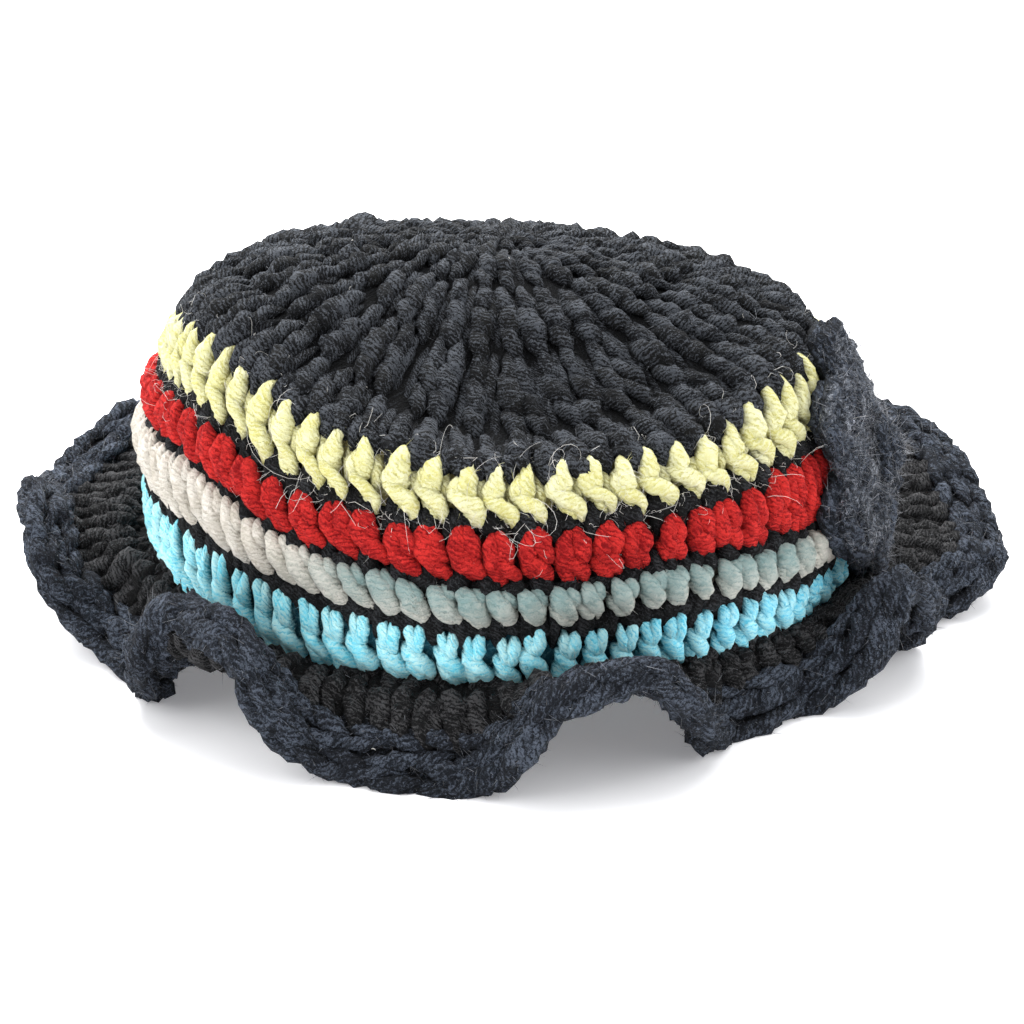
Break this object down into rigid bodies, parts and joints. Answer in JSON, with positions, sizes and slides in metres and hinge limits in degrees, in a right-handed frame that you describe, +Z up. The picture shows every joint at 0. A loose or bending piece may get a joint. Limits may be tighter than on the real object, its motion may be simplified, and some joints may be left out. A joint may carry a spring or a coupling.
{
  "type": "crocheted bucket hat with ruffled brim",
  "caption": "Soft crocheted hat with a domed crown, banded sides, a wavy ruffled brim with a thick fuzzy border and a crocheted flower on one side, open below for the head.",
  "frame": {"origin": "centre of the bottom of the bounding box, on the surface that the hat rests on", "axes": "+Z up out of the crown, -Y towards the front, +X towards the side with the flower"},
  "size_m": [0.2536, 0.2308, 0.0996],
  "materials": {
    "charcoal_yarn": "matt crocheted chunky yarn, plied, slightly fuzzy",
    "yellow_yarn": "matt crocheted chunky yarn, plied, with fine hairs",
    "red_yarn": "matt crocheted chunky yarn, plied, with fine hairs",
    "cream_yarn": "matt crocheted chunky yarn, shaded from cream to pale grey-blue along its length",
    "turquoise_yarn": "matt crocheted chunky yarn, plied, with fine hairs",
    "navy_yarn": "matt, very fuzzy crocheted chunky yarn"
  },
  "bodies": {
    "root": {"crown": "charcoal_yarn", "yellow_band": "yellow_yarn", "black_round_upper": "charcoal_yarn", "red_band": "red_yarn", "black_round_middle": "charcoal_yarn", "cream_band": "cream_yarn", "black_round_lower": "charcoal_yarn", "turquoise_band": "turquoise_yarn", "brim": "charcoal_yarn", "brim_border": "navy_yarn", "side_flower": "navy_yarn", "flower_centre": "navy_yarn"}
  },
  "joints": []
}
